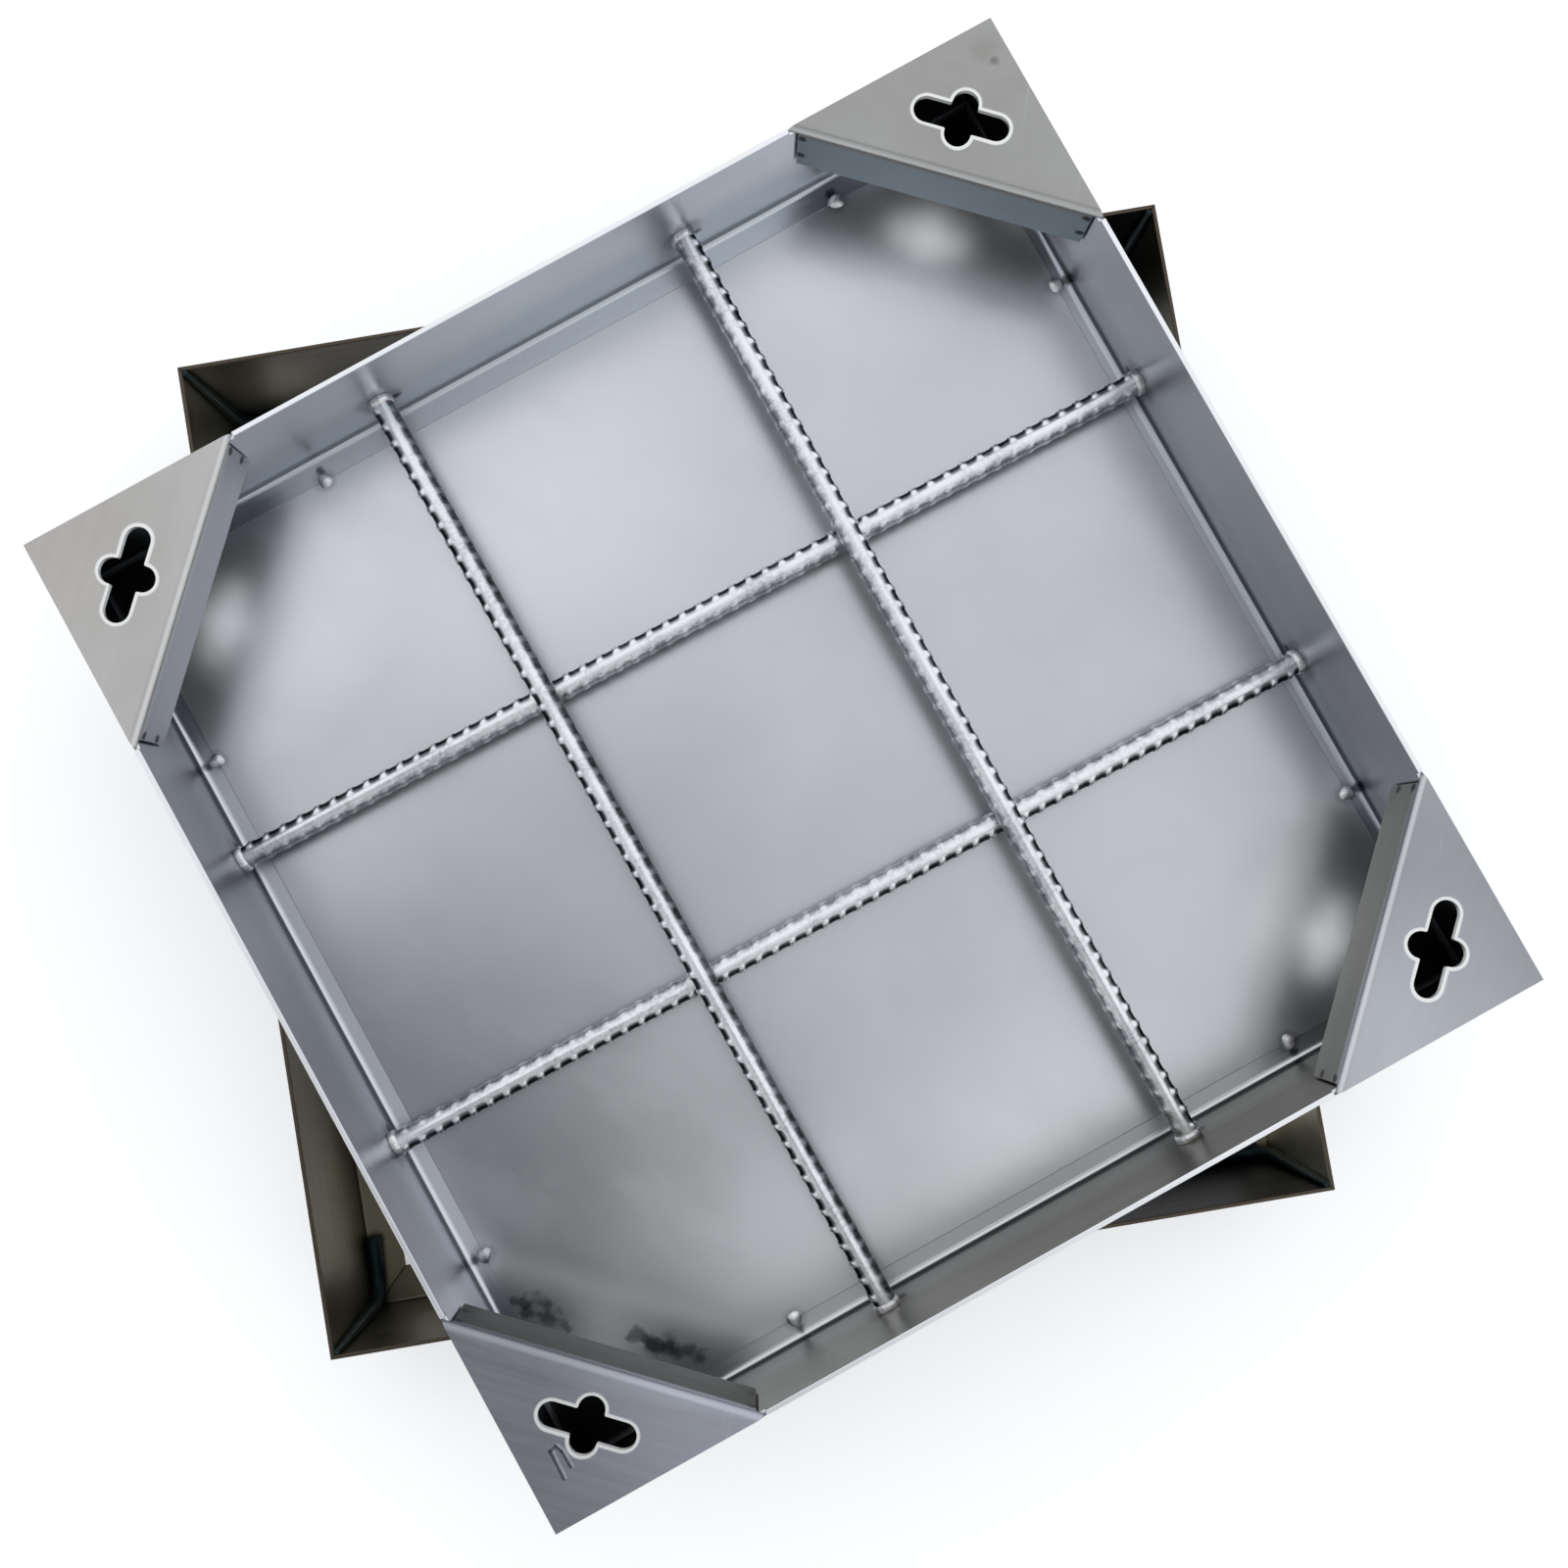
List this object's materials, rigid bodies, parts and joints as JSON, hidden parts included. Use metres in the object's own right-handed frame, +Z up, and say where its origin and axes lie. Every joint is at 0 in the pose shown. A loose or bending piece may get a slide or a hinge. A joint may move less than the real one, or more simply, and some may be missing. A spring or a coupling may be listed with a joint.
{
  "type": "recessed paving cover",
  "caption": "Square recessed paving cover: a shallow steel tray with ribbed bars and keyed corner plates, lying askew on the folded frame that it drops into.",
  "frame": {"origin": "middle of the frame's foot", "axes": "+Z up, X and Y along the tray's sides; the frame below is turned 19.44 degrees clockwise seen from above"},
  "size_m": [0.7744, 0.7744, 0.206],
  "materials": {
    "wall_steel": "satin stainless sheet",
    "floor_steel": "satin stainless sheet",
    "plate_steel": "satin stainless sheet",
    "bar_steel": "rolled ribbed stainless bar",
    "weld_steel": "weld bead, heat tinted",
    "frame_steel": "satin stainless sheet",
    "cushion_rubber": "matt rubber"
  },
  "bodies": {
    "root": {"tray_wall_back": "wall_steel", "base_angle_back": "wall_steel", "frame_side_back": "frame_steel", "floor_weld_back_1": "weld_steel", "floor_weld_back_2": "weld_steel", "tray_wall_left": "wall_steel", "base_angle_left": "wall_steel", "frame_side_left": "frame_steel", "floor_weld_left_1": "weld_steel", "floor_weld_left_2": "weld_steel", "tray_wall_front": "wall_steel", "base_angle_front": "wall_steel", "frame_side_front": "frame_steel", "floor_weld_front_1": "weld_steel", "floor_weld_front_2": "weld_steel", "tray_wall_right": "wall_steel", "base_angle_right": "wall_steel", "frame_side_right": "frame_steel", "floor_weld_right_1": "weld_steel", "floor_weld_right_2": "weld_steel", "corner_plate_top": "plate_steel", "corner_cushion_top": "cushion_rubber", "corner_plate_left": "plate_steel", "corner_cushion_left": "cushion_rubber", "corner_plate_bottom": "plate_steel", "corner_cushion_bottom": "cushion_rubber", "corner_plate_right": "plate_steel", "corner_cushion_right": "cushion_rubber", "floor_plate": "floor_steel", "lower_bar_1": "bar_steel", "lower_bar_1_weld_a": "weld_steel", "lower_bar_1_weld_b": "weld_steel", "lower_bar_2": "bar_steel", "lower_bar_2_weld_a": "weld_steel", "lower_bar_2_weld_b": "weld_steel", "upper_bar_1": "bar_steel", "upper_bar_1_weld_a": "weld_steel", "upper_bar_1_weld_b": "weld_steel", "upper_bar_2": "bar_steel", "upper_bar_2_weld_a": "weld_steel", "upper_bar_2_weld_b": "weld_steel"}
  },
  "joints": []
}
